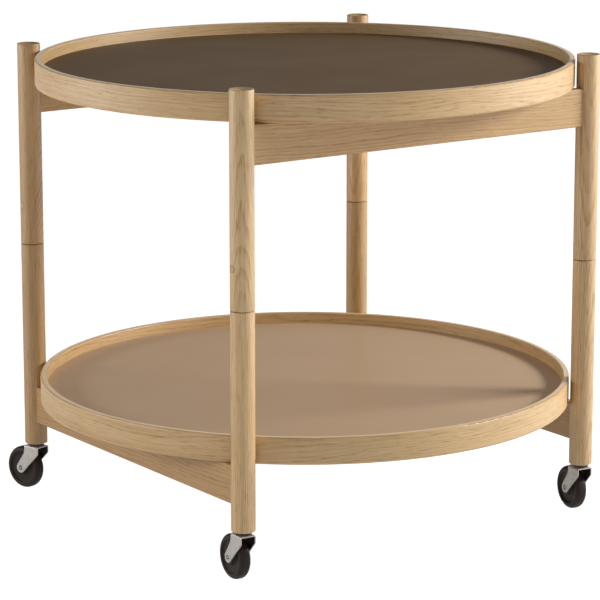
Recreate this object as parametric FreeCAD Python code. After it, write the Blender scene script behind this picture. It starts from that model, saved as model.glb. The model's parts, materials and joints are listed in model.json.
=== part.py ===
import FreeCAD, Part
import math
import os

from FreeCAD import Vector

# A folding table on castors: four split legs, four rails and two lift-off trays.
# Origin on the floor under the middle of the table, +Z up, upper rails along X, lower rails along Y.
# All sizes are in millimetres.

# Trays: a bent wooden rim with a laminated board let into a groove halfway up it
tray_diameter = 650.0
rim_height = 32.0
rim_thickness = 8.0
rim_edge_radius = 2.0
board_thickness = 2.8
laminate_thickness = 0.6
board_groove_depth = 4.0
board_groove_clearance = 0.3
laminate_edge_gap = 0.1

# Legs: turned round, each split into an upper and a lower section
leg_diameter = 28.0
upper_leg_length = 248.2
lower_leg_length = 255.0
leg_top_radius = 2.0
leg_edge_chamfer = 0.6
tray_leg_gap = 2.0
folded_leg_gap = 2.0

# Rails: let into the legs at full section, with a stub tenon beyond
rail_height = 46.0
rail_thickness = 12.0
rail_edge_radius = 2.0
rail_housing_depth = 3.5
tenon_length = 12.0
tenon_thickness = 8.0
tenon_shoulder = 5.0
upper_rail_drop = 40.0
lower_rail_rise = 28.0

# Leg pivots: a rod glued into the lower section turns in the upper one, kept in by a dowel in its groove
pin_diameter = 8.0
pin_reach = 60.0
pin_end_chamfer = 0.8
pin_turning_clearance = 0.05
glue_line = 0.05
pivot_washer_diameter = 24.0
pivot_washer_thickness = 0.75
pivot_float = 0.05
dowel_diameter = 6.0
dowel_rise = 48.0
pin_groove_depth = 1.2
pin_groove_side_gap = 0.2
dowel_tip_gap = 0.2

# Castors: threaded insert in the leg, riveted stem, pressed fork, solid wheel on a tubular rivet
insert_diameter = 12.0
insert_length = 18.0
insert_hole_spare = 3.0
stem_diameter = 8.0
stem_reach = 15.0
stem_turning_clearance = 0.05
stem_flange_diameter = 18.0
stem_flange_thickness = 1.75
stem_head_diameter = 11.0
stem_head_height = 2.0
swivel_washer_diameter = 19.0
swivel_washer_thickness = 2.4
swivel_float = 0.05
sheet_thickness = 1.5
fork_inner_width = 17.0
fork_bend_radius = 0.8
fork_crown_front = 11.0
fork_crown_rear = 12.0
fork_skirt = 9.5
fork_front_turn_radius = 4.0
fork_rear_turn_radius = 9.0
fork_boss_radius = 6.5
crown_gap = 2.8
castor_trail = 19.0
wheel_diameter = 53.0
wheel_width = 14.4
wheel_hub_diameter = 17.0
wheel_web_thickness = 10.0
wheel_rim_depth = 6.5
wheel_face_draft = 1.5
tread_edge_radius = 4.0
hub_side_gap = 0.2
axle_diameter = 6.0
axle_turning_clearance = 0.05
axle_head_diameter = 7.5
axle_head_height = 0.6
axle_hollow_diameter = 3.0
axle_hollow_depth = 1.6

# Each leg by its place, with its side along X and along Y and the way its castor points at rest, degrees
corners = {
    "front_left": (-1, -1, -94.0),
    "front_right": (1, -1, -99.0),
    "rear_right": (1, 1, -86.0),
    "rear_left": (-1, 1, -74.0),
}

# Plan: the legs stand on a circle just outside the trays, and the upper rails are one leg longer than
# the lower ones, so that two legs lie side by side when the frame is folded
leg_radius = leg_diameter / 2
leg_circle_radius = tray_diameter / 2 + tray_leg_gap + leg_radius
span_difference = leg_diameter + folded_leg_gap
lower_span = (math.sqrt(8 * leg_circle_radius ** 2 - span_difference ** 2) - span_difference) / 2
upper_span = lower_span + span_difference

# Heights, from the floor up
wheel_radius = wheel_diameter / 2
crown_base = wheel_diameter + crown_gap
crown_top = crown_base + sheet_thickness
swivel_washer_base = crown_top + swivel_float
stem_flange_base = swivel_washer_base + swivel_washer_thickness
leg_base = stem_flange_base + stem_flange_thickness
lower_rail_base = leg_base + lower_rail_rise
lower_tray_base = lower_rail_base + rail_height
joint_height = leg_base + lower_leg_length
upper_leg_base = joint_height + pivot_washer_thickness + pivot_float
dowel_height = upper_leg_base + dowel_rise
leg_top = upper_leg_base + upper_leg_length
upper_tray_base = leg_top - upper_rail_drop
upper_rail_base = upper_tray_base - rail_height

# Fits shared by two pieces
pin_radius = pin_diameter / 2
pin_groove_radius = pin_radius - pin_groove_depth
pin_groove_width = dowel_diameter + 2 * pin_groove_side_gap
stem_radius = stem_diameter / 2
axle_radius = axle_diameter / 2
fork_outer_width = fork_inner_width + 2 * sheet_thickness
rim_inner_radius = tray_diameter / 2 - rim_thickness

up = Vector(0, 0, 1)
along_x = Vector(1, 0, 0)
along_y = Vector(0, 1, 0)
level_tolerance = 0.01
cut_margin = 1.0


def save(node, shape):
    shape.exportStep("parts/" + node + ".step")


def disc(radius, thickness, height):
    return Part.makeCylinder(radius, thickness, Vector(0, 0, height), up)


def ring(outer_radius, inner_radius, thickness, height):
    return disc(outer_radius, thickness, height).cut(disc(inner_radius, thickness, height))


def level_edges(shape, height):
    edges = []
    for edge in shape.Edges:
        box = edge.BoundBox
        if abs(box.ZMin - height) < level_tolerance and abs(box.ZMax - height) < level_tolerance:
            edges.append(edge)
    return edges


def domed_head(diameter, height):
    # A rivet head on the XY plane, its dome rising along +Z
    radius = diameter / 2
    dome_radius = (radius ** 2 + height ** 2) / (2 * height)
    ball = Part.makeSphere(dome_radius, Vector(0, 0, height - dome_radius))
    return ball.common(Part.makeCylinder(radius, height))


def moved(shape, x, y, turn=0.0):
    copy = shape.copy()
    copy.rotate(Vector(0, 0, 0), up, turn)
    copy.translate(Vector(x, y, 0))
    return copy


# Rails

def make_rail(span, base):
    reach = span / 2 - leg_radius + rail_housing_depth
    corner = Vector(-reach, -rail_thickness / 2, base)
    bar = Part.makeBox(2 * reach, rail_thickness, rail_height, corner)
    long_edges = [edge for edge in bar.Edges if edge.BoundBox.XLength > reach]
    bar = bar.makeFillet(rail_edge_radius, long_edges)
    tenon_reach = reach + tenon_length
    tenon_corner = Vector(-tenon_reach, -tenon_thickness / 2, base + tenon_shoulder)
    tenon = Part.makeBox(2 * tenon_reach, tenon_thickness, rail_height - 2 * tenon_shoulder, tenon_corner)
    return bar.fuse(tenon).removeSplitter()


upper_rail = make_rail(upper_span, upper_rail_base)
upper_rails = {
    "front": moved(upper_rail, 0, -lower_span / 2),
    "rear": moved(upper_rail, 0, lower_span / 2),
}
lower_rail = make_rail(lower_span, lower_rail_base)
lower_rails = {
    "left": moved(lower_rail, -upper_span / 2, 0, 90),
    "right": moved(lower_rail, upper_span / 2, 0, 90),
}


# Legs and their pivots, each made on the Z axis and then moved to its corner

def make_upper_leg():
    leg = disc(leg_radius, upper_leg_length, upper_leg_base)
    leg = leg.makeFillet(leg_top_radius, level_edges(leg, leg_top))
    leg = leg.makeChamfer(leg_edge_chamfer, level_edges(leg, upper_leg_base))
    pin_hole = disc(pin_radius + pin_turning_clearance, pin_reach + cut_margin, upper_leg_base)
    return leg.cut(pin_hole)


def make_lower_leg():
    leg = disc(leg_radius, lower_leg_length, leg_base)
    ends = level_edges(leg, leg_base) + level_edges(leg, joint_height)
    leg = leg.makeChamfer(leg_edge_chamfer, ends)
    pin_hole = disc(pin_radius + glue_line, pin_reach, joint_height - pin_reach)
    insert_hole = disc(insert_diameter / 2 + glue_line, insert_length + insert_hole_spare, leg_base)
    return leg.cut((pin_hole, insert_hole))


def make_pivot_pin():
    base = joint_height - pin_reach
    top = upper_leg_base + pin_reach
    pin = disc(pin_radius, top - base, base)
    pin = pin.makeChamfer(pin_end_chamfer, level_edges(pin, base) + level_edges(pin, top))
    groove_base = dowel_height - pin_groove_width / 2
    groove = ring(pin_radius + cut_margin, pin_groove_radius, pin_groove_width, groove_base)
    return pin.cut(groove)


def make_dowel_rod(start, side):
    # From a distance off the pin axis out to past the leg's face, on the outer side of the frame
    length = leg_radius + cut_margin - start
    return Part.makeCylinder(dowel_diameter / 2, length, Vector(side * start, 0, dowel_height), along_x * side)


upper_leg = make_upper_leg()
lower_leg = make_lower_leg()
pivot_pin = make_pivot_pin()
pivot_washer = ring(pivot_washer_diameter / 2, pin_radius + glue_line, pivot_washer_thickness, joint_height)
leg_column = disc(leg_radius, upper_leg_length, upper_leg_base)


# Castors, each made with its swivel on the Z axis and its front along +X

def make_insert():
    sleeve = ring(insert_diameter / 2, stem_radius + glue_line, insert_length, leg_base)
    return sleeve


def make_stem():
    head_base = crown_base - swivel_float
    shank = disc(stem_radius, leg_base + stem_reach - head_base, head_base)
    flange = disc(stem_flange_diameter / 2, stem_flange_thickness, stem_flange_base)
    head = domed_head(stem_head_diameter, stem_head_height)
    head.rotate(Vector(0, 0, 0), along_x, 180)
    head.translate(Vector(0, 0, head_base))
    return shank.fuse((flange, head)).removeSplitter()


def tangent_point(start, centre, radius, side):
    # Where a line from start touches a circle in the XZ plane
    gap = start - centre
    spread = side * math.acos(radius / gap.Length)
    angle = math.atan2(gap.z, gap.x) + spread
    return centre + Vector(radius * math.cos(angle), 0, radius * math.sin(angle))


def make_fork_outline():
    # Side view of the fork: a crown with a short skirt, then arms that sweep back to the axle
    skirt_base = crown_top - fork_skirt
    front = Vector(fork_crown_front, 0, skirt_base)
    rear = Vector(-fork_crown_rear, 0, skirt_base)
    axle = Vector(-castor_trail, 0, wheel_radius)
    front_touch = tangent_point(front, axle, fork_boss_radius, -1)
    rear_touch = tangent_point(rear, axle, fork_boss_radius, 1)
    boss_end = axle + ((axle - front) + (axle - rear)).normalize() * fork_boss_radius
    crown_front = Vector(fork_crown_front, 0, crown_top)
    crown_rear = Vector(-fork_crown_rear, 0, crown_top)
    edges = [
        Part.LineSegment(crown_rear, crown_front).toShape(),
        Part.LineSegment(crown_front, front).toShape(),
        Part.LineSegment(front, front_touch).toShape(),
        Part.Arc(front_touch, boss_end, rear_touch).toShape(),
        Part.LineSegment(rear_touch, rear).toShape(),
        Part.LineSegment(rear, crown_rear).toShape(),
    ]
    face = Part.Face(Part.Wire(edges))
    face.translate(Vector(0, -fork_outer_width, 0))
    plate = face.extrude(Vector(0, 2 * fork_outer_width, 0))
    turns = [edge for edge in level_edges(plate, skirt_base) if edge.BoundBox.YLength > fork_outer_width]
    front_turn = [edge for edge in turns if edge.BoundBox.XMin > 0]
    plate = plate.makeFillet(fork_front_turn_radius, front_turn)
    turns = [edge for edge in level_edges(plate, skirt_base) if edge.BoundBox.YLength > fork_outer_width]
    return plate.makeFillet(fork_rear_turn_radius, turns)


def make_channel_block(width, top, bend_radius):
    reach = castor_trail + wheel_diameter
    block = Part.makeBox(2 * reach, width, top, Vector(-reach, -width / 2, 0))
    bends = [edge for edge in level_edges(block, top) if edge.BoundBox.XLength > reach]
    return block.makeFillet(bend_radius, bends)


def make_fork():
    outside = make_channel_block(fork_outer_width, crown_top, fork_bend_radius + sheet_thickness)
    inside = make_channel_block(fork_inner_width, crown_base, fork_bend_radius)
    fork = outside.cut(inside).common(make_fork_outline())
    stem_hole = disc(stem_radius + stem_turning_clearance, sheet_thickness, crown_base)
    axle_start = Vector(-castor_trail, -fork_outer_width, wheel_radius)
    axle_hole = Part.makeCylinder(axle_radius + glue_line, 2 * fork_outer_width, axle_start, along_y)
    return fork.cut((stem_hole, axle_hole))


def make_wheel():
    # Section through one half of the wheel as radius and half width, turned about the axle
    half_hub = fork_inner_width / 2 - hub_side_gap
    half_web = wheel_web_thickness / 2
    half_width = wheel_width / 2
    bore = axle_radius + axle_turning_clearance
    hub = wheel_hub_diameter / 2
    rim = wheel_radius - wheel_rim_depth
    shoulder = wheel_radius - tread_edge_radius
    bend = tread_edge_radius * (1 - math.sqrt(0.5))

    def section_point(radius, side):
        return Vector(-castor_trail, side, wheel_radius + radius)

    corner_points = [
        section_point(bore, 0),
        section_point(bore, half_hub),
        section_point(hub, half_hub),
        section_point(hub + wheel_face_draft, half_web),
        section_point(rim - wheel_face_draft, half_web),
        section_point(rim, half_width),
        section_point(shoulder, half_width),
    ]
    tread_side = section_point(wheel_radius, half_width - tread_edge_radius)
    tread_bend = section_point(wheel_radius - bend, half_width - bend)
    edges = list(Part.makePolygon(corner_points).Edges)
    edges.append(Part.Arc(corner_points[-1], tread_bend, tread_side).toShape())
    edges.append(Part.LineSegment(tread_side, section_point(wheel_radius, 0)).toShape())
    edges.append(Part.LineSegment(section_point(wheel_radius, 0), corner_points[0]).toShape())
    section = Part.Face(Part.Wire(edges))
    half = section.revolve(section_point(0, 0), along_y, 360)
    other_half = half.mirror(Vector(0, 0, 0), along_y)
    return half.fuse(other_half).removeSplitter()


def make_axle():
    # A tubular rivet through both fork arms, made on the Z axis and laid along Y
    half = fork_outer_width / 2
    axle = Part.makeCylinder(axle_radius, 2 * half, Vector(0, 0, -half))
    head = domed_head(axle_head_diameter, axle_head_height)
    head.translate(Vector(0, 0, half))
    hollow_base = half + axle_head_height - axle_hollow_depth
    hollow = Part.makeCylinder(axle_hollow_diameter / 2, axle_hollow_depth, Vector(0, 0, hollow_base))
    middle = Vector(0, 0, 0)
    axle = axle.fuse((head, head.mirror(middle, up))).removeSplitter()
    axle = axle.cut((hollow, hollow.mirror(middle, up)))
    axle.rotate(middle, along_x, 90)
    axle.translate(Vector(-castor_trail, 0, wheel_radius))
    return axle


castor_pieces = {
    "castor_insert": make_insert(),
    "castor_stem": make_stem(),
    "swivel_washer": ring(
        swivel_washer_diameter / 2, stem_radius + stem_turning_clearance,
        swivel_washer_thickness, swivel_washer_base),
    "castor_fork": make_fork(),
    "castor_axle": make_axle(),
    "castor_wheel": make_wheel(),
}


# Trays

def make_rim(base):
    rim = ring(tray_diameter / 2, rim_inner_radius, rim_height, base)
    rim = rim.makeFillet(rim_edge_radius, level_edges(rim, base) + level_edges(rim, base + rim_height))
    groove_base = base + (rim_height - board_thickness) / 2
    groove = ring(
        rim_inner_radius + board_groove_depth, rim_inner_radius - cut_margin,
        board_thickness, groove_base)
    return rim.cut(groove)


def save_tray(name, base):
    board_base = base + (rim_height - board_thickness) / 2
    board_top = board_base + board_thickness
    board_radius = rim_inner_radius + board_groove_depth - board_groove_clearance
    laminate_radius = rim_inner_radius - laminate_edge_gap
    save(name + "_rim", make_rim(base))
    save(name + "_board", disc(board_radius, board_thickness, board_base))
    save(name + "_top_laminate", disc(laminate_radius, laminate_thickness, board_top))
    save(name + "_under_laminate", disc(laminate_radius, laminate_thickness, board_base - laminate_thickness))


# Assembly

os.makedirs("parts", exist_ok=True)

for side, rail in upper_rails.items():
    save("upper_rail_" + side, rail)
for side, rail in lower_rails.items():
    save("lower_rail_" + side, rail)

for corner, (x_side, y_side, heading) in corners.items():
    x = x_side * upper_span / 2
    y = y_side * lower_span / 2
    dowel_hole = make_dowel_rod(0, x_side)
    dowel = make_dowel_rod(pin_groove_radius + dowel_tip_gap, x_side).common(leg_column)
    upper = moved(upper_leg.cut(dowel_hole), x, y)
    lower = moved(lower_leg, x, y)
    save("upper_leg_" + corner, upper.cut(upper_rails["front" if y_side < 0 else "rear"]))
    save("lower_leg_" + corner, lower.cut(lower_rails["left" if x_side < 0 else "right"]))
    save("pivot_pin_" + corner, moved(pivot_pin, x, y))
    save("pivot_washer_" + corner, moved(pivot_washer, x, y))
    save("retaining_dowel_" + corner, moved(dowel, x, y))
    for piece, shape in castor_pieces.items():
        save(piece + "_" + corner, moved(shape, x, y, heading))

save_tray("upper_tray", upper_tray_base)
save_tray("lower_tray", lower_tray_base)
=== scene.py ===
import bpy
import bmesh
import json
import math
from mathutils import Matrix, Vector


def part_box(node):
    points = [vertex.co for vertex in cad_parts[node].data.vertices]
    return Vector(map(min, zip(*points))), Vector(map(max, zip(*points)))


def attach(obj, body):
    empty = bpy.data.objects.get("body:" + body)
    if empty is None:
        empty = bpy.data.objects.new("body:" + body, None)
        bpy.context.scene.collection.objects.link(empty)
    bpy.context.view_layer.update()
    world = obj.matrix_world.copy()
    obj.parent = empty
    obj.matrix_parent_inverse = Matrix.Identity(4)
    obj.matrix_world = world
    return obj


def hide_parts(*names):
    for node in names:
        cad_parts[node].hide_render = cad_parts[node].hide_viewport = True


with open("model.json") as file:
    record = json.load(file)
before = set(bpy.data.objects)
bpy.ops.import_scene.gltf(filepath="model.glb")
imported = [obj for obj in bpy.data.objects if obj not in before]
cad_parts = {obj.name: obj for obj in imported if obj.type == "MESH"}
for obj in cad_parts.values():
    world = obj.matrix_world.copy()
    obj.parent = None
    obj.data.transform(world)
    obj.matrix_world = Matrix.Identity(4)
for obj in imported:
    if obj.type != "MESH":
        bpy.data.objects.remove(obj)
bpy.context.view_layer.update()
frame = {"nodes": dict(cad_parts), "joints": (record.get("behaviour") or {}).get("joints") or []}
cadNodes = frame["nodes"]
joints = {joint["name"]: joint for joint in frame["joints"]}
cornerNames = ["front_left", "front_right", "rear_right", "rear_left"]
print("frame loaded:", len(cadNodes), "pieces")


# small helpers for shader trees

def addNode(tree, kind, **settings):
    node = tree.nodes.new(kind)
    for key, value in settings.items():
        setattr(node, key, value)
    return node


def feed(tree, value, socket):
    # an output is linked, anything else is set as a constant
    if isinstance(value, bpy.types.NodeSocket):
        tree.links.new(value, socket)
    elif value is not None:
        socket.default_value = value


def mathNode(tree, operation, first, second=None, third=None, clamp=False):
    node = addNode(tree, "ShaderNodeMath", operation=operation, use_clamp=clamp)
    for value, socket in zip((first, second, third), node.inputs):
        feed(tree, value, socket)
    return node.outputs[0]


def distanceNode(tree, first, second):
    squared = mathNode(tree, "MULTIPLY", second, second)
    return mathNode(tree, "SQRT", mathNode(tree, "MULTIPLY_ADD", first, first, squared))


def vectorNode(tree, operation, first, second, output="Vector"):
    node = addNode(tree, "ShaderNodeVectorMath", operation=operation)
    feed(tree, first, node.inputs[0])
    feed(tree, second, node.inputs[1])
    return node.outputs[output]


def splitNode(tree, vector):
    node = addNode(tree, "ShaderNodeSeparateXYZ")
    feed(tree, vector, node.inputs[0])
    return node.outputs


def turnNode(tree, vector, degrees):
    node = addNode(tree, "ShaderNodeVectorRotate", rotation_type="Z_AXIS")
    feed(tree, vector, node.inputs["Vector"])
    node.inputs["Angle"].default_value = math.radians(degrees)
    return node.outputs[0]


def noiseNode(tree, vector, stretch, detail, roughness):
    # one noise, stretched by its own three scales per metre
    node = addNode(tree, "ShaderNodeTexNoise")
    feed(tree, vectorNode(tree, "MULTIPLY", vector, stretch), node.inputs["Vector"])
    node.inputs["Scale"].default_value = 1.0
    node.inputs["Detail"].default_value = detail
    node.inputs["Roughness"].default_value = roughness
    return node.outputs["Fac"]


def rangeNode(tree, value, low, high, outLow=0.0, outHigh=1.0):
    node = addNode(tree, "ShaderNodeMapRange", interpolation_type="SMOOTHSTEP")
    for entry, socket in zip((value, low, high, outLow, outHigh), node.inputs):
        feed(tree, entry, socket)
    return node.outputs[0]


def mixColour(tree, factor, first, second):
    node = addNode(tree, "ShaderNodeMix", data_type="RGBA")
    feed(tree, factor, node.inputs[0])
    feed(tree, first, node.inputs[6])
    feed(tree, second, node.inputs[7])
    return node.outputs[2]


def startGroup(name, inputs):
    # every group gives a colour, a roughness and a height
    group = bpy.data.node_groups.new(name, "ShaderNodeTree")
    for label, kind, *value in inputs:
        socket = group.interface.new_socket(name=label, in_out="INPUT", socket_type="NodeSocket" + kind)
        if value:
            socket.default_value = value[0]
    for label, kind in (("Color", "Color"), ("Roughness", "Float"), ("Height", "Float")):
        group.interface.new_socket(name=label, in_out="OUTPUT", socket_type="NodeSocket" + kind)
    return group, group.nodes.new("NodeGroupInput"), group.nodes.new("NodeGroupOutput")


# oiled oak: growth rings, pores, streaks and rays are cut through a solid, so end grain shows too
oakPattern = {
    # noises: scales per metre across, across and along the fibres, detail and roughness
    "slow": ((16, 16, 3.4), 2.0, 0.5),
    "quick": ((110, 110, 20), 3.0, 0.6),
    "quickReach": 0.0027,
    # marks: the same, and then the span of the noise that makes the mark
    "streak": ((420, 420, 5.5), 3.0, 0.6, 0.34, 0.66),
    "fibre": ((850, 850, 26), 2.0, 0.5, 0.36, 0.64),
    "pore": ((560, 560, 62), 1.0, 0.5, 0.57, 0.68),
    "ray": ((70, 900, 90), 1.0, 0.5, 0.62, 0.72),
    "tone": ((24, 24, 2.6), 2.0, 0.5, 0.3, 0.7),
    # a ring darkens at once, fades slowly, and every year has its own strength
    "rise": (0.0, 0.12), "fall": (0.14, 0.62), "year": (0.75, 0.35),
    "crowd": (0.6, 0.4),
    "darker": {"streak": 0.30, "fibre": 0.26, "tone": 0.38}, "lighter": 0.21,
    "rayShare": 0.10, "rayColour": (0.70, 0.53, 0.33, 1), "poreShare": 0.56,
    "roughness": 0.48, "rougher": {"pore": 0.14, "ring": 0.06},
    "height": 1.0, "hollows": {"pore": -0.7, "ring": -0.2, "fibre": -0.1},
}


def makeOakFigure():
    group, given, result = startGroup("oakFigure", [
        ("Grain", "Vector"), ("Light", "Color"), ("Dark", "Color"), ("Pore", "Color"),
        ("Ring Width", "Float", 0.0021), ("Ring Strength", "Float", 0.66), ("Wander", "Float", 0.011),
        ("Pith", "Float", 0.05), ("Slope", "Float", 0.03),
    ])
    grain = given.outputs["Grain"]
    x, y, z = splitNode(group, grain)

    # distance from a pith that slopes away, pushed about by a slow and a quick wander
    radius = distanceNode(group, mathNode(group, "ADD", y, given.outputs["Pith"]), x)
    radius = mathNode(group, "MULTIPLY_ADD", z, given.outputs["Slope"], radius)
    for key, reach in (("slow", given.outputs["Wander"]), ("quick", oakPattern["quickReach"])):
        push = mathNode(group, "SUBTRACT", noiseNode(group, grain, *oakPattern[key]), 0.5)
        radius = mathNode(group, "MULTIPLY_ADD", push, reach, radius)
    turns = mathNode(group, "DIVIDE", radius, given.outputs["Ring Width"])
    phase = mathNode(group, "FRACT", turns)
    rise = rangeNode(group, phase, *oakPattern["rise"])
    fall = rangeNode(group, phase, *oakPattern["fall"], 1.0, 0.0)
    year = addNode(group, "ShaderNodeTexWhiteNoise", noise_dimensions="1D")
    feed(group, mathNode(group, "FLOOR", turns), year.inputs["W"])
    strength = mathNode(group, "MULTIPLY_ADD", year.outputs["Value"], *oakPattern["year"])
    ring = mathNode(group, "MULTIPLY", mathNode(group, "MULTIPLY", rise, fall), strength)

    # streaks run with the fibres, pores crowd into the dark side of each ring
    marks = {"ring": ring}
    for key in ("streak", "fibre", "pore", "ray", "tone"):
        *noise, low, high = oakPattern[key]
        marks[key] = rangeNode(group, noiseNode(group, grain, *noise), low, high)
    crowd = mathNode(group, "MULTIPLY_ADD", ring, *oakPattern["crowd"])
    marks["pore"] = mathNode(group, "MULTIPLY", marks["pore"], crowd)

    def addMarks(total, shares):
        for key, share in shares.items():
            total = mathNode(group, "MULTIPLY_ADD", marks[key], share, total)
        return total

    dark = addMarks(mathNode(group, "MULTIPLY", ring, given.outputs["Ring Strength"]), oakPattern["darker"])
    dark = mathNode(group, "SUBTRACT", dark, oakPattern["lighter"], clamp=True)
    rays = mathNode(group, "MULTIPLY", marks["ray"], oakPattern["rayShare"])
    pores = mathNode(group, "MULTIPLY", marks["pore"], oakPattern["poreShare"])
    colour = mixColour(group, dark, given.outputs["Light"], given.outputs["Dark"])
    colour = mixColour(group, rays, colour, oakPattern["rayColour"])
    feed(group, mixColour(group, pores, colour, given.outputs["Pore"]), result.inputs["Color"])
    feed(group, addMarks(oakPattern["roughness"], oakPattern["rougher"]), result.inputs["Roughness"])
    feed(group, addMarks(oakPattern["height"], oakPattern["hollows"]), result.inputs["Height"])
    return group


# fine mottling for laminate, plating and moulded faces
mottlePattern = {"details": (("Coarse", 3.0), ("Fine", 2.0)), "span": (0.32, 0.68), "shares": (0.55, 0.45)}


def makeMottle():
    group, given, result = startGroup("mottle", [
        ("Vector", "Vector"), ("Color", "Color"), ("Fleck", "Color"), ("Coarse", "Float"), ("Fine", "Float"),
        ("Amount", "Float"), ("Roughness", "Float"), ("Roughness Swing", "Float"),
    ])
    layers = []
    for label, detail in mottlePattern["details"]:
        node = addNode(group, "ShaderNodeTexNoise")
        feed(group, given.outputs["Vector"], node.inputs["Vector"])
        feed(group, given.outputs[label], node.inputs["Scale"])
        node.inputs["Detail"].default_value = detail
        layers.append(rangeNode(group, node.outputs["Fac"], *mottlePattern["span"]))
    coarse, fine = layers
    coarseShare, fineShare = mottlePattern["shares"]
    both = mathNode(group, "MULTIPLY_ADD", coarse, coarseShare, mathNode(group, "MULTIPLY", fine, fineShare))
    share = mathNode(group, "MULTIPLY", both, given.outputs["Amount"])
    colour = mixColour(group, share, given.outputs["Color"], given.outputs["Fleck"])
    feed(group, colour, result.inputs["Color"])
    swing = mathNode(group, "SUBTRACT", both, 0.5)
    rough = mathNode(group, "MULTIPLY_ADD", swing, given.outputs["Roughness Swing"],
                     given.outputs["Roughness"])
    feed(group, rough, result.inputs["Roughness"])
    feed(group, fine, result.inputs["Height"])
    return group


oakFigure = makeOakFigure()
mottle = makeMottle()


def startMaterial(name, shaderValues):
    material = bpy.data.materials.new(name)
    material.use_nodes = True
    tree = material.node_tree
    shader = tree.nodes["Principled BSDF"]
    for label, value in shaderValues.items():
        shader.inputs[label].default_value = value
    return material, tree, shader


def addBump(tree, shader, height, strength, distance):
    bump = addNode(tree, "ShaderNodeBump")
    bump.inputs["Strength"].default_value = strength
    bump.inputs["Distance"].default_value = distance
    feed(tree, height, bump.inputs["Height"])
    feed(tree, bump.outputs["Normal"], shader.inputs["Normal"])


oakFinish = {
    "light": (0.565, 0.378, 0.188),
    "dark": (0.380, 0.203, 0.056),
    "pore": (0.245, 0.118, 0.034),
    # turned leg tops and planed rim edges get a paler colour, a painted highlight where light from above
    # falls; the end grain is also duller and the planed edges smoother
    "ends": {"Color": (0.80, 0.52, 0.25, 1), "share": 0.70, "Roughness": 0.72},
    "edges": {"Color": (0.84, 0.64, 0.39, 1), "share": 0.80, "Roughness": 0.31},
    # a dark line of glue runs round each plug, at this distance from its middle
    "plugs": {"Color": (0.44, 0.285, 0.13, 1), "share": 0.35, "Roughness": 0.62,
              "glue": (0.105, 0.040, 0.008, 1), "glueSpan": (0.0036, 0.0041)},
    "facing": (0.93, 0.995),    # how squarely a face is cut before it counts as one of these
    "specular": 1.0,
    "sheen": 0.05,              # fine raised fibres catch light near the edges
    "sheenRoughness": 0.5,
    "bump": 0.30,
    "bumpDepth": 0.00025,
    "rimBend": 0.321,           # middle radius of the bent rims
    "rimSeam": -43.2,           # turns the ends of the bent strip behind the front left leg
}


def makeOak(name, run, centre=(0, 0, 0), turn=0.0, shift=(0, 0, 0), shade=(1, 1, 1), cutKind="ends",
            **values):
    # run says which way the fibres go: "z", "x", "y" or round the "arc" of a rim
    material, tree, shader = startMaterial(name, {
        "Specular IOR Level": oakFinish["specular"], "Sheen Weight": oakFinish["sheen"],
        "Sheen Roughness": oakFinish["sheenRoughness"]})
    coords = addNode(tree, "ShaderNodeTexCoord")
    place = vectorNode(tree, "SUBTRACT", coords.outputs["Object"], centre)
    if run == "arc":
        bend = oakFinish["rimBend"]
        x, y, z = splitNode(tree, turnNode(tree, place, oakFinish["rimSeam"]))
        depth = mathNode(tree, "SUBTRACT", distanceNode(tree, x, y), bend)
        order = (z, depth, mathNode(tree, "MULTIPLY", mathNode(tree, "ARCTAN2", y, x), bend))
    else:
        x, y, z = splitNode(tree, place)
        order = {"z": (x, y, z), "x": (z, y, x), "y": (z, x, y)}[run]
    joined = addNode(tree, "ShaderNodeCombineXYZ")
    for value, socket in zip(order, joined.inputs):
        feed(tree, value, socket)
    figure = addNode(tree, "ShaderNodeGroup", node_tree=oakFigure)
    spun = turnNode(tree, joined.outputs[0], turn)
    feed(tree, vectorNode(tree, "ADD", spun, shift), figure.inputs["Grain"])
    for label, key in (("Light", "light"), ("Dark", "dark"), ("Pore", "pore")):
        figure.inputs[label].default_value = [part * tint for part, tint in zip(oakFinish[key], shade)] + [1]
    for label, value in values.items():
        figure.inputs[label.replace("_", " ")].default_value = value

    # faces cut across the fibres, or the edges of a rim, have a finish of their own: on leg tops and rim
    # edges its paler colour is a painted highlight, its roughness their own
    cut = oakFinish[cutKind]
    normal = splitNode(tree, coords.outputs["Normal"])
    facing = mathNode(tree, "ABSOLUTE", normal["xyz".index("z" if run == "arc" else run)])
    share = rangeNode(tree, facing, *oakFinish["facing"], 0.0, cut["share"])
    colour = mixColour(tree, share, figure.outputs["Color"], cut["Color"])
    if "glue" in cut:
        glueLine = rangeNode(tree, distanceNode(tree, order[0], order[1]), *cut["glueSpan"])
        colour = mixColour(tree, glueLine, colour, cut["glue"])
    feed(tree, colour, shader.inputs["Base Color"])
    rough = rangeNode(tree, facing, *oakFinish["facing"], figure.outputs["Roughness"], cut["Roughness"])
    feed(tree, rough, shader.inputs["Roughness"])
    addBump(tree, shader, figure.outputs["Height"], oakFinish["bump"], oakFinish["bumpDepth"])
    return material


def makeMottled(name, settings):
    material, tree, shader = startMaterial(name, {
        "Metallic": settings.get("metallic", 0.0), "Specular IOR Level": settings.get("specular", 0.5)})
    fleck = addNode(tree, "ShaderNodeGroup", node_tree=mottle)
    feed(tree, addNode(tree, "ShaderNodeTexCoord").outputs["Object"], fleck.inputs["Vector"])
    for label in ("Color", "Fleck", "Coarse", "Fine", "Amount", "Roughness", "Roughness Swing"):
        fleck.inputs[label].default_value = settings[label]
    feed(tree, fleck.outputs["Color"], shader.inputs["Base Color"])
    feed(tree, fleck.outputs["Roughness"], shader.inputs["Roughness"])
    addBump(tree, shader, fleck.outputs["Height"], settings["bump"], settings["bumpDepth"])
    return material


def dress(piece, *materials):
    piece.data.materials.clear()
    for material in materials:
        piece.data.materials.append(material)


def middleOf(node):
    low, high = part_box(node)
    return tuple((low + high) / 2)


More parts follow.
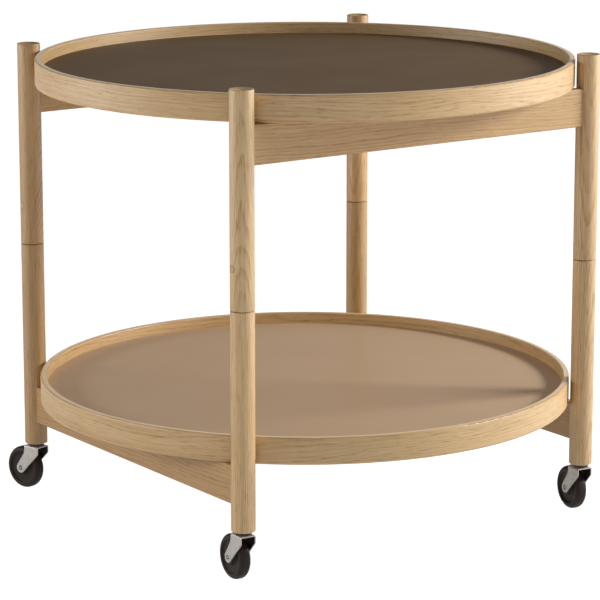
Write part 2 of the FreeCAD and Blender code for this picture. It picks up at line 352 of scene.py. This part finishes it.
# legs: every section is its own length of wood, turned its own way
legWood = {
    # turn, slope and shade of the upper section, then of the lower one; the shade tints are partly the wood's
    # own tone and partly painted light: lighter on the front left leg, darker and deeper in hue on the rear
    # legs as painted shade
    "front_left": ((215, -0.045, (1.13, 1.16, 1.13)), (118, 0.03, (1.22, 1.22, 1.20))),
    "front_right": ((200, 0.05, (1.00, 0.99, 0.93)), (160, -0.05, (1.02, 1.01, 0.95))),
    "rear_right": ((230, 0.05, (0.90, 0.79, 0.55)), (20, 0.04, (0.81, 0.72, 0.50))),
    "rear_left": ((128, -0.16, (0.85, 0.77, 0.56)), (300, 0.10, (0.80, 0.72, 0.53))),
    "aside": 0.003, "along": 0.37, "below": 2.1,    # how far apart in the wood the pieces are cut
    "dowelTurn": 40, "dowelPith": 0.03, "dowelShade": (0.96, 0.95, 0.88),
}

for number, corner in enumerate(cornerNames):
    along = legWood["along"] * number
    for half, section in enumerate(("upper", "lower")):
        turn, slope, shade = legWood[corner][half]
        shift = (legWood["aside"] * number, 0, along + legWood["below"] * half)
        dress(cadNodes[section + "_leg_" + corner],
              makeOak("oak" + section.capitalize() + "Leg." + corner, "z", middleOf("upper_leg_" + corner),
                      turn, shift, shade, Slope=slope))
    node = "retaining_dowel_" + corner
    dress(cadNodes[node],
          makeOak("oakDowel." + corner, "x", middleOf(node), legWood["dowelTurn"], (0, 0, along),
                  legWood["dowelShade"], "plugs", Pith=legWood["dowelPith"]))
print("legs and dowels dressed")

# rails: broad faces with long, nearly level lines
railWood = {
    # fibres, turn, pith and shade; the darker, deeper shade tints are partly painted shade and partly the
    # wood's own tone
    "upper": ("x", 62, 0.06, (0.86, 0.77, 0.50)),
    "lower": ("y", 118, 0.07, (0.78, 0.65, 0.36)),
    "aside": 0.002, "along": 0.83, "ringWidth": 0.0034, "slope": 0.02, "wander": 0.026,
}

for level, sides in (("upper", ("front", "rear")), ("lower", ("left", "right"))):
    run, turn, pith, shade = railWood[level]
    for number, side in enumerate(sides):
        node = level + "_rail_" + side
        shift = (railWood["aside"] * number, 0, railWood["along"] * (number + 1))
        dress(cadNodes[node],
              makeOak("oakRail." + node, run, middleOf(node), turn, shift, shade, Pith=pith,
                      Ring_Width=railWood["ringWidth"], Slope=railWood["slope"], Wander=railWood["wander"]))

# tray rims: the fibres follow the bend
rimWood = {
    # turn, place along the wood and shade
    "upper": (38, 0.4, (1.10, 1.10, 1.03)),
    "lower": (218, 3.3, (1.09, 1.08, 0.98)),
    "pith": 0.035, "ringWidth": 0.0024, "ringStrength": 0.42, "slope": 0.015, "wander": 0.024,
}

for level in ("upper", "lower"):
    turn, along, shade = rimWood[level]
    node = level + "_tray_rim"
    dress(cadNodes[node],
          makeOak("oakRim." + level, "arc", (0, 0, middleOf(node)[2]), turn, (0, 0, along), shade, "edges",
                  Pith=rimWood["pith"], Ring_Width=rimWood["ringWidth"],
                  Ring_Strength=rimWood["ringStrength"], Slope=rimWood["slope"], Wander=rimWood["wander"]))
print("rails and rims dressed")

# trays: satin laminate, dark on one side and light on the other, on a thin plywood board
darkLaminate = {
    "Color": (0.175, 0.108, 0.053, 1), "Fleck": (0.151, 0.094, 0.047, 1), "Coarse": 9.0, "Fine": 1400.0,
    "Amount": 0.35, "Roughness": 0.46, "Roughness Swing": 0.06, "specular": 0.02,
    "bump": 0.10, "bumpDepth": 0.00008,
}
lightLaminate = {
    "Color": (0.540, 0.383, 0.244, 1), "Fleck": (0.488, 0.345, 0.218, 1), "Coarse": 9.0, "Fine": 1400.0,
    "Amount": 0.35, "Roughness": 0.44, "Roughness Swing": 0.06, "specular": 0.11,
    "bump": 0.10, "bumpDepth": 0.00008,
}
boardWood = {"ringWidth": 0.009}

darkTop = makeMottled("laminateDark", darkLaminate)
lightTop = makeMottled("laminateLight", lightLaminate)
plyWood = makeOak("boardPly", "x", Ring_Width=boardWood["ringWidth"])
for level, upper, under in (("upper", darkTop, lightTop), ("lower", lightTop, darkTop)):
    dress(cadNodes[level + "_tray_top_laminate"], upper)
    dress(cadNodes[level + "_tray_under_laminate"], under)
    dress(cadNodes[level + "_tray_board"], plyWood)
print("trays dressed")

# castor and pivot metal
zincPlate = {
    "Color": (0.55, 0.512, 0.470, 1), "Fleck": (0.39, 0.360, 0.328, 1), "Coarse": 160.0, "Fine": 1300.0,
    "Amount": 0.55, "Roughness": 0.50, "Roughness Swing": 0.16, "metallic": 0.55,
    "bump": 0.22, "bumpDepth": 0.00008,
}
drawnSteel = {
    "Color": (0.52, 0.51, 0.50, 1), "Fleck": (0.42, 0.41, 0.40, 1), "Coarse": 90.0, "Fine": 1500.0,
    "Amount": 0.4, "Roughness": 0.34, "Roughness Swing": 0.10, "metallic": 1.0,
    "bump": 0.06, "bumpDepth": 0.00005,
}
darkFibre = {
    "Color": (0.055, 0.042, 0.033, 1), "Fleck": (0.03, 0.024, 0.02, 1), "Coarse": 200.0, "Fine": 1500.0,
    "Amount": 0.6, "Roughness": 0.7, "Roughness Swing": 0.1, "specular": 0.3,
    "bump": 0.2, "bumpDepth": 0.0001,
}
blackWheel = {
    "Color": (0.020, 0.0135, 0.0095, 1), "Fleck": (0.032, 0.023, 0.017, 1), "Coarse": 45.0, "Fine": 1100.0,
    "Amount": 0.55, "Roughness": 0.50, "Roughness Swing": 0.14, "specular": 0.20,
    "bump": 0.14, "bumpDepth": 0.00012,
}
# dark steel that paints shade: on the stems, the swivel washers and the inside faces of each fork
blackSteel = {
    "Color": (0.070, 0.058, 0.050, 1), "Fleck": (0.045, 0.038, 0.034, 1), "Coarse": 120.0, "Fine": 1300.0,
    "Amount": 0.5, "Roughness": 0.42, "Roughness Swing": 0.12, "metallic": 0.8,
    "bump": 0.08, "bumpDepth": 0.00006,
}

zinc = makeMottled("zincPlate", zincPlate)
steel = makeMottled("drawnSteel", drawnSteel)
fibre = makeMottled("darkFibre", darkFibre)
paintedShade = makeMottled("blackSteel", blackSteel)
wheelRubber = makeMottled("blackWheel", blackWheel)
# stems and swivel washers get the dark steel: painted shade in the gap under each leg
for corner in cornerNames:
    for piece, material in (("castor_insert_", steel), ("castor_stem_", paintedShade), ("swivel_washer_", paintedShade),
                            ("castor_fork_", zinc), ("castor_axle_", zinc), ("castor_wheel_", wheelRubber),
                            ("pivot_pin_", steel), ("pivot_washer_", fibre)):
        dress(cadNodes[piece + corner], material)
print("castor and pivot metal dressed")


# modelling helpers: one piece is edited at a time, picks are made by place, lengths are in millimetres

mm = 0.001
softAngle = 32        # degrees; sharper edges stay crisp
mergeGap = 0.002      # points nearer than this are one


def choose(piece):
    bpy.ops.object.select_all(action="DESELECT")
    piece.select_set(True)
    bpy.context.view_layer.objects.active = piece


def openPiece(piece):
    choose(piece)
    bpy.ops.object.mode_set(mode="EDIT")


def closePiece():
    bpy.ops.object.mode_set(mode="OBJECT")


def startPiece(name, addShape, place, scale=(1, 1, 1), **settings):
    bpy.ops.object.select_all(action="DESELECT")
    addShape(location=[value * mm for value in place], **settings)
    piece = bpy.context.object
    piece.name = name
    piece.scale = scale
    bpy.ops.object.transform_apply(location=True, rotation=True, scale=True)
    return piece


def pick(piece, kind, test):
    # vertices, edges or faces whose every point passes the test
    bpy.context.tool_settings.mesh_select_mode = (kind == "verts", kind == "edges", kind == "faces")
    bpy.ops.mesh.select_all(action="DESELECT")
    sketch = bmesh.from_edit_mesh(piece.data)
    for item in getattr(sketch, kind):
        points = [item] if kind == "verts" else item.verts
        if all(test(point.co / mm) for point in points):
            item.select_set(True)
    sketch.select_flush_mode()
    bmesh.update_edit_mesh(piece.data)


def near(value, target, slack=0.01):
    return abs(value - target) < slack


def pull(along):
    bpy.ops.mesh.extrude_region_move(TRANSFORM_OT_translate={"value": tuple(step * mm for step in along)})


def pullRings(rings, centre=(0, 0, 0), axis=2):
    # what is picked is led through rings of (radius, place along the axis)
    for (radius, place), (nextRadius, nextPlace) in zip(rings, rings[1:]):
        step, middle, ratio = [0, 0, 0], list(centre), [nextRadius / radius] * 3
        step[axis], middle[axis], ratio[axis] = nextPlace - place, nextPlace, 1
        pull(step)
        bpy.ops.transform.resize(value=ratio, center_override=[value * mm for value in middle])


def mergePoints(gap=mergeGap):
    bpy.ops.mesh.select_all(action="SELECT")
    bpy.ops.mesh.remove_doubles(threshold=gap * mm)


def cleanPiece(piece):
    openPiece(piece)
    mergePoints()
    bpy.ops.mesh.normals_make_consistent(inside=False)
    closePiece()


def smoothPiece(piece):
    choose(piece)
    bpy.ops.object.shade_smooth_by_angle(angle=math.radians(softAngle))


def finishWith(piece, kind, **settings):
    modifier = piece.modifiers.new(kind.lower(), kind)
    for key, value in settings.items():
        setattr(modifier, key, value)
    bpy.context.view_layer.objects.active = piece
    bpy.ops.object.modifier_apply(modifier=modifier.name)


def cutWith(piece, cutter, operation="DIFFERENCE"):
    finishWith(piece, "BOOLEAN", object=cutter, operation=operation, solver="MANIFOLD")


def cutRound(piece, radius, place=(0, 0, 0), turn=(0, 0, 0), steps=48, length=30, operation="DIFFERENCE"):
    cutter = startPiece("cutter", bpy.ops.mesh.primitive_cylinder_add, place, vertices=steps,
                        radius=radius * mm, depth=length * mm, rotation=turn)
    cutWith(piece, cutter, operation)
    bpy.data.objects.remove(cutter)


def placeCopy(master, name, place, heading, body, node):
    # one more of the master, which takes over from one CAD node
    piece = master.copy()
    piece.data = master.data.copy()
    piece.name = name
    piece.data.transform(Matrix.Translation(place) @ Matrix.Rotation(heading, 4, "Z"))
    bpy.context.scene.collection.objects.link(piece)
    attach(piece, body)
    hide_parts(node)
    return piece


def onLeg(corner, height):
    # a place on the leg's middle line, in metres
    return (*joints["castor_swivel_" + corner]["pos_m"][:2], height)


# castors, modelled once with the swivel upright on the origin and the front along +X
swivel, spin = (joints[name + "front_left"]["pos_m"] for name in ("castor_swivel_", "wheel_spin_"))
axlePlace = (-round(math.dist(swivel[:2], spin[:2]) / mm, 2), round(spin[2] / mm, 2))


def turnPiece(name, profile, steps, capped):
    # rings of (radius, side) along Y, as on a lathe with its centre on the axle
    axleX, axleZ = axlePlace
    radius, side = profile[0]
    piece = startPiece(name, bpy.ops.mesh.primitive_circle_add, (axleX, side, axleZ), vertices=steps,
                       radius=radius * mm, rotation=(math.pi / 2, 0, 0))
    openPiece(piece)
    bpy.ops.mesh.select_all(action="SELECT")
    if capped:
        bpy.ops.mesh.edge_face_add()
        pick(piece, "edges", lambda point: True)
    pullRings(profile, (axleX, 0, axleZ), axis=1)
    if capped:
        bpy.ops.mesh.edge_face_add()
    closePiece()
    cleanPiece(piece)
    return piece


# the wheel's profile is given for one side, from the bore outward
wheelShape = {
    "steps": 96,
    "hub": ((3.05, 8.05), (3.30, 8.30), (8.00, 8.30), (8.40, 8.10), (8.60, 7.60)),
    "face": ((9.60, 5.45), (10.20, 5.08), (11.00, 5.00), (17.60, 5.00), (18.40, 5.10), (19.00, 5.55),
             (19.50, 6.55), (19.80, 6.95), (20.40, 7.20), (21.40, 7.20)),
    "tread": (21.40, 26.50, 1.90, 7.20),      # the round runs between these radii and half widths
    "treadSteps": 10,
}


def makeWheel():
    low, high, flat, wide = wheelShape["tread"]
    side = list(wheelShape["hub"] + wheelShape["face"])
    for step in range(1, wheelShape["treadSteps"] + 1):
        turn = math.pi / 2 * step / wheelShape["treadSteps"]
        side.append((low + (high - low) * math.sin(turn), flat + (wide - flat) * math.cos(turn)))
    far = [(radius, -half) for radius, half in reversed(side)]
    wheel = turnPiece("castorWheel", side + far + side[:1], wheelShape["steps"], False)
    smoothPiece(wheel)
    dress(wheel, wheelRubber)
    return wheel


# the axle is a rivet whose rolled ends leave a ring groove
axleShape = {
    "steps": 40,
    "end": ((0.70, 10.40), (1.15, 10.36), (1.35, 10.20), (1.42, 7.60), (2.80, 7.60), (2.88, 10.16),
            (3.10, 10.30), (3.55, 10.22), (3.75, 10.00), (3.00, 10.00)),
}


def makeAxle():
    end = list(axleShape["end"])
    farEnd = [(radius, -side) for radius, side in reversed(end)]
    axle = turnPiece("castorAxle", end + farEnd, axleShape["steps"], True)
    smoothPiece(axle)
    dress(axle, zinc)
    return axle


# the fork is one strip of sheet: a crown, two skirts and two arms that sweep back to the axle
forkShape = {
    "front": 11.0, "rear": -12.0, "half": 9.25, "crown": 56.55, "skirt": 47.8,
    "boss": 6.5, "bossSteps": 18, "frontTouch": -44.45, "rearTouch": 144.94,
    "frontTurn": 1.63, "rearTurn": 2.84, "turnSteps": 6, "bend": 1.55, "bendSteps": 5,
    "sheet": 1.5, "softEdge": 0.18, "softSteps": 2, "softFrom": 50, "stemHole": 4.05, "axleHole": 3.02,
    "roundSlack": 0.02, "roundMerge": 0.01, "insideSlack": 0.05,
}


def makeFork():
    front, rear, half = forkShape["front"], forkShape["rear"], forkShape["half"]
    crown, skirt, boss = forkShape["crown"], forkShape["skirt"], forkShape["boss"]
    slack = forkShape["roundSlack"]
    axleX, axleZ = axlePlace
    touches = []
    for key in ("frontTouch", "rearTouch"):
        turn = math.radians(forkShape[key])
        touches.append((axleX + boss * math.cos(turn), axleZ + boss * math.sin(turn)))
    frontTouch, rearTouch = touches

    # crown, pulled down at both sides into skirts and then arms
    fork = startPiece("castorFork", bpy.ops.mesh.primitive_plane_add, ((front + rear) / 2, 0, crown),
                      ((front - rear) * mm, 2 * half * mm, 1), size=1)
    openPiece(fork)
    for side in (half, -half):
        pick(fork, "edges", lambda point: near(point.y, side) and near(point.z, crown))
        pull((0, 0, skirt - crown))
        pull((0, 0, axleZ - skirt))
    for startX, (touchX, touchZ) in ((front, frontTouch), (rear, rearTouch)):
        pick(fork, "verts", lambda point: near(point.x, startX) and near(point.z, axleZ))
        bpy.ops.transform.translate(value=((touchX - startX) * mm, 0, (touchZ - axleZ) * mm))

    # round ends about the axle
    sweep = math.radians(360 - forkShape["rearTouch"] + forkShape["frontTouch"])
    for side in (half, -half):
        pick(fork, "verts", lambda point: near(point.y, side)
             and near(point.x, rearTouch[0]) and near(point.z, rearTouch[1]))
        bpy.ops.mesh.spin(steps=forkShape["bossSteps"], angle=sweep, axis=(0, 1, 0),
                          center=(axleX * mm, side * mm, axleZ * mm))
        mergePoints(forkShape["roundMerge"])
        pick(fork, "edges", lambda point: near(point.y, side)
             and near(math.hypot(point.x - axleX, point.z - axleZ), boss, slack))
        bpy.ops.mesh.edge_face_add()

    # each arm and its skirt and round end become one face
    pick(fork, "edges", lambda point: near(point.z, skirt))
    bpy.ops.mesh.dissolve_edges(use_verts=False)
    pick(fork, "edges", lambda point: any(near(point.x, x, slack) and near(point.z, z, slack)
                                          for x, z in touches))
    bpy.ops.mesh.dissolve_edges(use_verts=False)

    # soft turns in the outline, then the bends between crown and skirts
    for cornerX, key in ((front, "frontTurn"), (rear, "rearTurn")):
        pick(fork, "verts", lambda point: near(point.x, cornerX) and near(point.z, skirt))
        bpy.ops.mesh.bevel(offset=forkShape[key] * mm, segments=forkShape["turnSteps"], affect="VERTICES")
    pick(fork, "edges", lambda point: near(abs(point.y), half) and near(point.z, crown))
    bpy.ops.mesh.bevel(offset=forkShape["bend"] * mm, segments=forkShape["bendSteps"], affect="EDGES")
    bpy.ops.mesh.select_all(action="SELECT")
    bpy.ops.mesh.normals_make_consistent(inside=False)
    closePiece()

    # thickness, holes and rolled edges
    finishWith(fork, "SOLIDIFY", thickness=forkShape["sheet"] * mm, offset=0.0, use_even_offset=True)
    cutRound(fork, forkShape["stemHole"], (0, 0, crown))
    cutRound(fork, forkShape["axleHole"], (axleX, 0, axleZ), (math.pi / 2, 0, 0))
    cleanPiece(fork)
    finishWith(fork, "BEVEL", width=forkShape["softEdge"] * mm, segments=forkShape["softSteps"],
               limit_method="ANGLE", angle_limit=math.radians(forkShape["softFrom"]))
    smoothPiece(fork)

    # painted shade: the inside faces get the dark steel, which stands in for the shade inside the fork
    dress(fork, zinc, paintedShade)
    openPiece(fork)
    skin = forkShape["sheet"] / 2 - forkShape["insideSlack"]
    pick(fork, "faces", lambda point: abs(point.y) < half - skin and point.z < crown - skin)
    fork.active_material_index = 1
    bpy.ops.object.material_slot_assign()
    closePiece()
    return fork


# every castor is turned the way that its CAD wheel runs
for label, makePiece, body, slotName in (("wheel", makeWheel, "wheel", "wheel_black"),
                                         ("axle", makeAxle, "castor", "castor_steel"),
                                         ("fork", makeFork, "castor", "castor_steel")):
    master = makePiece()
    for corner in cornerNames:
        axis = joints["wheel_spin_" + corner]["axis"]
        placeCopy(master, label + "." + corner, onLeg(corner, 0), math.atan2(-axis[0], axis[1]),
                  body + "_" + corner, "castor_" + label + "_" + corner)
    bpy.data.objects.remove(master)
print("castors modelled")

# retaining dowels: each ends in a wider plug, trimmed to the round of the leg
plugShape = {
    "steps": 48, "stem": 3.0, "head": 4.5, "tip": 3.0, "shoulder": 9.0, "past": 16.0,
    "leg": 14.06, "legSteps": 128,
}


def makePlug():
    # lies along -X, with the leg upright on the origin
    stem, head = plugShape["stem"], plugShape["head"]
    tip, shoulder, past = plugShape["tip"], plugShape["shoulder"], plugShape["past"]
    piece = startPiece("dowelPlug", bpy.ops.mesh.primitive_cylinder_add, (-(shoulder + tip) / 2, 0, 0),
                       vertices=plugShape["steps"], radius=stem * mm, depth=(shoulder - tip) * mm,
                       rotation=(0, math.pi / 2, 0))
    openPiece(piece)
    pick(piece, "faces", lambda point: near(point.x, -shoulder))
    pullRings([(stem, -shoulder), (head, -shoulder), (head, -past)], axis=0)
    closePiece()
    cleanPiece(piece)
    cutRound(piece, plugShape["leg"], steps=plugShape["legSteps"], operation="INTERSECT")
    cleanPiece(piece)
    smoothPiece(piece)
    return piece


plugs = {}
master = makePlug()
for corner in cornerNames:
    node = "retaining_dowel_" + corner
    end, side = corner.split("_")
    piece = placeCopy(master, "plug." + corner, onLeg(corner, middleOf(node)[2]),
                      math.pi if side == "right" else 0.0, "upper_frame_" + end, node)
    dress(piece, cadNodes[node].data.materials[0])
    plugs[corner] = piece
bpy.data.objects.remove(master)
print("dowels modelled")

# upper legs: the top is dished inside a rounded edge
legShape = {
    "steps": 100, "radius": 14.0, "chamfer": 0.6, "bore": 4.05, "boreDepth": 61.0,
    "edge": 1.0, "edgeSteps": 7, "slope": 23, "dishSteps": 7, "middle": 0.3,
}


def makeLeg(tall):
    # stands upright on the origin
    radius, chamfer, edge = legShape["radius"], legShape["chamfer"], legShape["edge"]
    bore, shoulder = legShape["bore"], tall - edge
    # half a step round, so that no edge of the leg meets a corner of the plug
    piece = startPiece("upperLeg", bpy.ops.mesh.primitive_cylinder_add, (0, 0, (shoulder + chamfer) / 2),
                       vertices=legShape["steps"], radius=radius * mm, depth=(shoulder - chamfer) * mm,
                       rotation=(0, 0, math.pi / legShape["steps"]))
    openPiece(piece)

    # chamfered foot and the bore for the pin
    pick(piece, "faces", lambda point: near(point.z, chamfer))
    pullRings([(radius, chamfer), (radius - chamfer, 0), (bore, 0), (bore, legShape["boreDepth"])])

    # the round runs over the edge into the slope of the dish
    slope = math.radians(legShape["slope"])
    rings = []
    for step in range(legShape["edgeSteps"] + 1):
        turn = (math.pi / 2 + slope) * step / legShape["edgeSteps"]
        rings.append((radius - edge + edge * math.cos(turn), shoulder + edge * math.sin(turn)))
    wide, lip = rings[-1]
    deep = wide * math.tan(slope) / 2
    for step in range(1, legShape["dishSteps"] + 1):
        share = 1 - (1 - legShape["middle"] / wide) * step / legShape["dishSteps"]
        rings.append((wide * share, lip - deep * (1 - share ** 2)))
    pick(piece, "faces", lambda point: near(point.z, shoulder))
    pullRings(rings)
    closePiece()
    cleanPiece(piece)
    return piece


low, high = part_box("upper_leg_front_left")
master = makeLeg((high.z - low.z) / mm)
for end in ("front", "rear"):
    # a copy of the rail, joined up, is cut out of both its legs, and so are the plugs
    rail = cadNodes["upper_rail_" + end].copy()
    rail.data = rail.data.copy()
    bpy.context.scene.collection.objects.link(rail)
    cleanPiece(rail)
    for side in ("left", "right"):
        corner = end + "_" + side
        node = "upper_leg_" + corner
        piece = placeCopy(master, "leg." + corner, onLeg(corner, low.z), 0.0, "upper_frame_" + end,
                          node)
        cutWith(piece, rail)
        cutWith(piece, plugs[corner])
        cleanPiece(piece)
        smoothPiece(piece)
        dress(piece, cadNodes[node].data.materials[0])
    bpy.data.objects.remove(rail)
bpy.data.objects.remove(master)
print("upper legs modelled")

# camera at the photograph's angle
lens = {
    "place": (-2.0403, -2.9103, 1.0404), "turn": 34.938, "pitch": 12.462,
    "focal": 177.92, "sensor": 36.0, "far": 100.0,
}
viewTurn = math.radians(lens["turn"])
cameraData = bpy.data.cameras.new("photoCamera")
cameraData.lens = lens["focal"]
cameraData.sensor_width = lens["sensor"]
cameraData.clip_end = lens["far"]
camera = bpy.data.objects.new("photoCamera", cameraData)
bpy.context.scene.collection.objects.link(camera)
camera.location = lens["place"]
camera.rotation_euler = (math.radians(90 - lens["pitch"]), 0, -viewTurn)
bpy.context.scene.camera = camera

# studio: pale floor, a strong soft light from the right, weaker ones from the left, the front and above
studio = {
    "floor": 40.0,
    "floorColour": (0.24, 0.24, 0.24, 1), "floorRoughness": 0.9, "floorSpecular": 0.1,
    "floorSeen": 1.0,           # what the camera sees of the floor's own glow
    "floorGlow": 0.60,          # what the floor throws back on the table
    "floorShine": 1.6,          # how bright it is in reflections, over on the right
    "shineSpan": (0.2, 1.2),
    "skySeen": 1.0,             # the backdrop looks white
    "skyPlain": 0.05,           # the room itself is nearly dark
    "skyGloss": 0.10,
    "skyBack": 0.55,            # apart from the backdrop in reflections
    "backSpan": (0.70, 0.95),
    # name, place to the right, ahead and up, size and power
    "lights": (
        ("keyRight", (2.29, 0.20, 1.25), (1.0, 0.5), 61.0),
        ("lowRight", (2.29, 0.20, 0.75), (1.2, 0.9), 6.0),
        ("kickRight", (2.28, 0.30, 0.80), (1.2, 0.9), 5.0),
        ("fillLeft", (-2.3, 0.0, 0.72), (1.2, 0.3), 20.0),
        ("softLeft", (-1.99, -1.15, 0.80), (1.2, 0.9), 5.0),
        ("softFront", (0.0, -2.2, 0.9), (1.6, 1.2), 6.5),
        ("topSoft", (0.6, 0.0, 2.9), (2.6, 2.6), 6.0),
    ),
    "aim": (0, 0, 0.32),
}
white = (1, 1, 1, 1)
viewRight = Vector((math.cos(viewTurn), -math.sin(viewTurn), 0))
viewAhead = Vector((math.sin(viewTurn), math.cos(viewTurn), 0))


def lightByRay(tree, plain, glossy, seen):
    # one strength for plain light, one for reflections and one for what is looked at
    sight = addNode(tree, "ShaderNodeLightPath")
    light = rangeNode(tree, sight.outputs["Is Glossy Ray"], 0.0, 1.0, plain, glossy)
    return rangeNode(tree, sight.outputs["Is Camera Ray"], 0.0, 1.0, light, seen)


floor = startPiece("studioFloor", bpy.ops.mesh.primitive_plane_add, (0, 0, 0), size=studio["floor"])
floorPaint, floorTree, floorShader = startMaterial("studioFloor", {
    "Base Color": studio["floorColour"], "Roughness": studio["floorRoughness"],
    "Specular IOR Level": studio["floorSpecular"], "Emission Color": white})
floorPlace = addNode(floorTree, "ShaderNodeTexCoord").outputs["Object"]
floorRight = vectorNode(floorTree, "DOT_PRODUCT", floorPlace, tuple(viewRight), "Value")
floorShine = rangeNode(floorTree, floorRight, *studio["shineSpan"], studio["floorGlow"], studio["floorShine"])
feed(floorTree, lightByRay(floorTree, studio["floorGlow"], floorShine, studio["floorSeen"]),
     floorShader.inputs["Emission Strength"])
dress(floor, floorPaint)

for name, (right, ahead, height), (width, tall), power in studio["lights"]:
    lamp = bpy.data.lights.new(name, "AREA")
    lamp.shape = "RECTANGLE"
    lamp.size = width
    lamp.size_y = tall
    lamp.energy = power
    holder = bpy.data.objects.new(name, lamp)
    bpy.context.scene.collection.objects.link(holder)
    holder.location = viewRight * right + viewAhead * ahead + Vector((0, 0, height))
    toward = Vector(studio["aim"]) - holder.location
    holder.rotation_euler = toward.to_track_quat("-Z", "Y").to_euler()

world = bpy.data.worlds.new("studioSky")
bpy.context.scene.world = world
world.use_nodes = True
skyTree = world.node_tree
skyNode = skyTree.nodes["Background"]
skyNode.inputs["Color"].default_value = white
skyWay = addNode(skyTree, "ShaderNodeTexCoord").outputs["Generated"]
skyAhead = vectorNode(skyTree, "DOT_PRODUCT", skyWay, tuple(viewAhead), "Value")
skyShine = rangeNode(skyTree, skyAhead, *studio["backSpan"], studio["skyGloss"], studio["skyBack"])
feed(skyTree, lightByRay(skyTree, studio["skyPlain"], skyShine, studio["skySeen"]),
     skyNode.inputs["Strength"])
bpy.context.scene.view_settings.view_transform = "Standard"
print("studio and camera set")
